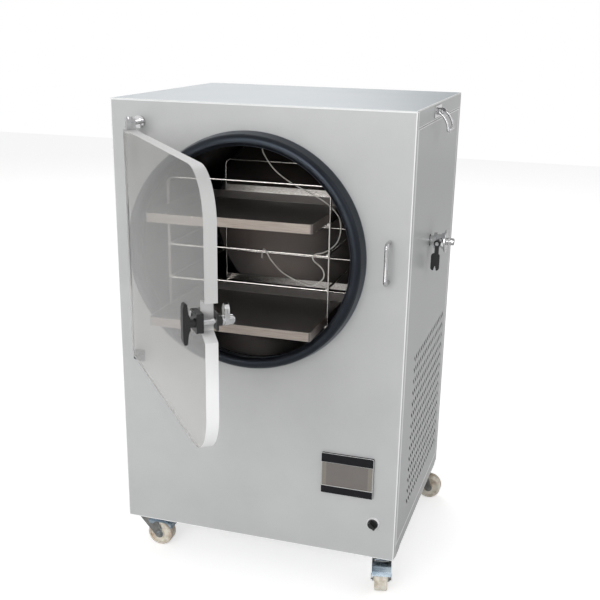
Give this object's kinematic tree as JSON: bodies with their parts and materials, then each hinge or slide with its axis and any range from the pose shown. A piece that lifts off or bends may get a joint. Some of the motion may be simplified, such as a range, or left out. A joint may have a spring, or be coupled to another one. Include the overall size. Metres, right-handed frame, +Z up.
{
  "type": "freeze dryer",
  "caption": "Floor-standing freeze dryer: sheet-metal cabinet on castors, round chamber with gasket, clear swinging door, wire rack, sliding trays and vacuum valve.",
  "frame": {"origin": "centre of the cabinet's underside", "axes": "+Z up, door faces -Y, +X to the right seen from the front"},
  "size_m": [0.7378, 1.0821, 1.066],
  "materials": {
    "cabinet_paint": "light grey powder coat, satin",
    "lid_paint": "pale grey-blue powder coat, satin",
    "frame_steel": "dark primer, matt",
    "stainless": "polished stainless",
    "tray_steel": "brushed stainless",
    "rod_steel": "bright wire",
    "chrome": "bright plate",
    "zinc": "zinc plate, satin",
    "copper": "copper tube",
    "fins": "mill finish",
    "clear": "clear acrylic with frosted edges",
    "rubber": "glossy black rubber",
    "black": "black plastic",
    "panel_black": "black bezel",
    "screen": "dark glass",
    "foam": "foam",
    "lead": "white sheath",
    "nylon": "cream nylon"
  },
  "bodies": {
    "cabinet": {"cabinet_frame": "frame_steel", "base_pan": "cabinet_paint", "front_panel": "cabinet_paint", "right_panel": "cabinet_paint", "left_panel": "cabinet_paint", "rear_panel": "cabinet_paint", "top_cover": "lid_paint", "panel_screws": "zinc", "chamber_shell": "stainless", "chamber_insulation": "foam", "evaporator_coil": "copper", "door_gasket": "rubber", "drain_tube": "stainless", "feedthrough": "stainless", "probe_lead": "lead", "shelf_rack": "rod_steel", "upper_hinge_stud": "chrome", "lower_hinge_bracket": "frame_steel", "strike_bar": "chrome", "touch_panel_frame": "panel_black", "touch_screen": "screen", "selector_bezel": "chrome", "handle_plates": "chrome", "port_nipple": "stainless", "valve_body": "chrome", "hose_adapter": "chrome", "compressor": "black", "condenser": "fins", "fan_shroud": "frame_steel", "fan_motor": "black", "control_box": "cabinet_paint", "refrigerant_pipes": "copper", "power_gland": "black", "caster_plates": "zinc"},
    "door": {"door_panel": "clear", "upper_hinge_clevis": "chrome", "latch_plate_outer": "black", "latch_plate_inner": "black", "latch_screws": "zinc"},
    "latch": {"latch_handle": "black", "latch_shaft": "chrome", "latch_hook": "chrome", "latch_nut": "chrome"},
    "upper_tray": {"tray_upper": "tray_steel"},
    "lower_tray": {"tray_lower": "tray_steel"},
    "selector": {"selector_knob": "black"},
    "right_handle": {"lid_handle_right": "chrome"},
    "left_handle": {"lid_handle_left": "chrome"},
    "valve": {"valve_lever": "black"},
    "fan": {"fan_blades": "black"},
    "fork_fl": {"caster_fork_fl": "zinc"},
    "wheel_fl": {"caster_wheel_fl": "nylon"},
    "pedal_fl": {"brake_pedal_fl": "zinc"},
    "fork_fr": {"caster_fork_fr": "zinc"},
    "wheel_fr": {"caster_wheel_fr": "nylon"},
    "pedal_fr": {"brake_pedal_fr": "zinc"},
    "fork_rl": {"caster_fork_rl": "zinc"},
    "wheel_rl": {"caster_wheel_rl": "nylon"},
    "fork_rr": {"caster_fork_rr": "zinc"},
    "wheel_rr": {"caster_wheel_rr": "nylon"}
  },
  "joints": [
    {"name": "door_hinge", "type": "hinge", "parent": "cabinet", "child": "door", "pos_m": [-0.2585, -0.3233, 0.674], "axis": [0, 0, -1], "range_deg": [-50.9, 59.1]},
    {"name": "latch_turn", "type": "hinge", "parent": "door", "child": "latch", "pos_m": [0.08488, -0.76327, 0.677], "axis": [-0.776, -0.6307, 0], "range_deg": [0, 90]},
    {"name": "upper_tray_slide", "type": "slide", "parent": "cabinet", "child": "upper_tray", "axis": [0, -1, 0], "range_m": [-0.08, 0.093]},
    {"name": "lower_tray_slide", "type": "slide", "parent": "cabinet", "child": "lower_tray", "axis": [0, -1, 0], "range_m": [-0.08, 0.093]},
    {"name": "selector_turn", "type": "hinge", "parent": "cabinet", "child": "selector", "pos_m": [0.2755, -0.276, 0.086], "axis": [0, -1, 0], "range_deg": [-90, 0]},
    {"name": "right_handle_lift", "type": "hinge", "parent": "cabinet", "child": "right_handle", "pos_m": [0.334, -0.051, 0.961], "axis": [0, -1, 0], "range_deg": [0, 60]},
    {"name": "left_handle_lift", "type": "hinge", "parent": "cabinet", "child": "left_handle", "pos_m": [-0.334, -0.051, 0.961], "axis": [0, 1, 0], "range_deg": [0, 60]},
    {"name": "valve_turn", "type": "hinge", "parent": "cabinet", "child": "valve", "pos_m": [0.346, -0.0745, 0.682], "axis": [0, -1, 0], "range_deg": [0, 90]},
    {"name": "fan_spin", "type": "hinge", "parent": "cabinet", "child": "fan", "pos_m": [0.218, 0.034, 0.16], "axis": [1, 0, 0], "continuous": true},
    {"name": "swivel_fl", "type": "hinge", "parent": "cabinet", "child": "fork_fl", "pos_m": [-0.29, -0.23, -0.0133], "axis": [0, 0, 1], "continuous": true},
    {"name": "roll_fl", "type": "hinge", "parent": "fork_fl", "child": "wheel_fl", "pos_m": [-0.262, -0.23, -0.057], "axis": [0, 1, 0], "continuous": true},
    {"name": "brake_fl", "type": "hinge", "parent": "fork_fl", "child": "pedal_fl", "pos_m": [-0.28, -0.23, -0.024], "axis": [0, 1, 0], "range_deg": [0, 4]},
    {"name": "swivel_fr", "type": "hinge", "parent": "cabinet", "child": "fork_fr", "pos_m": [0.29, -0.23, -0.0133], "axis": [0, 0, 1], "continuous": true},
    {"name": "roll_fr", "type": "hinge", "parent": "fork_fr", "child": "wheel_fr", "pos_m": [0.29582, -0.25739, -0.057], "axis": [0.9781, 0.2079, 0], "continuous": true},
    {"name": "brake_fr", "type": "hinge", "parent": "fork_fr", "child": "pedal_fr", "pos_m": [0.29208, -0.23978, -0.024], "axis": [0.9781, 0.2079, 0], "range_deg": [0, 4]},
    {"name": "swivel_rl", "type": "hinge", "parent": "cabinet", "child": "fork_rl", "pos_m": [-0.29, 0.23, -0.0133], "axis": [0, 0, 1], "continuous": true},
    {"name": "roll_rl", "type": "hinge", "parent": "fork_rl", "child": "wheel_rl", "pos_m": [-0.276, 0.25425, -0.057], "axis": [-0.866, 0.5, 0], "continuous": true},
    {"name": "swivel_rr", "type": "hinge", "parent": "cabinet", "child": "fork_rr", "pos_m": [0.29, 0.23, -0.0133], "axis": [0, 0, 1], "continuous": true},
    {"name": "roll_rr", "type": "hinge", "parent": "fork_rr", "child": "wheel_rr", "pos_m": [0.318, 0.23, -0.057], "axis": [0, 1, 0], "continuous": true}
  ],
  "couplings": [
    {"joint": "upper_tray_slide", "follows": "door_hinge", "m_per_rad": 0.09},
    {"joint": "lower_tray_slide", "follows": "door_hinge", "m_per_rad": 0.09}
  ]
}
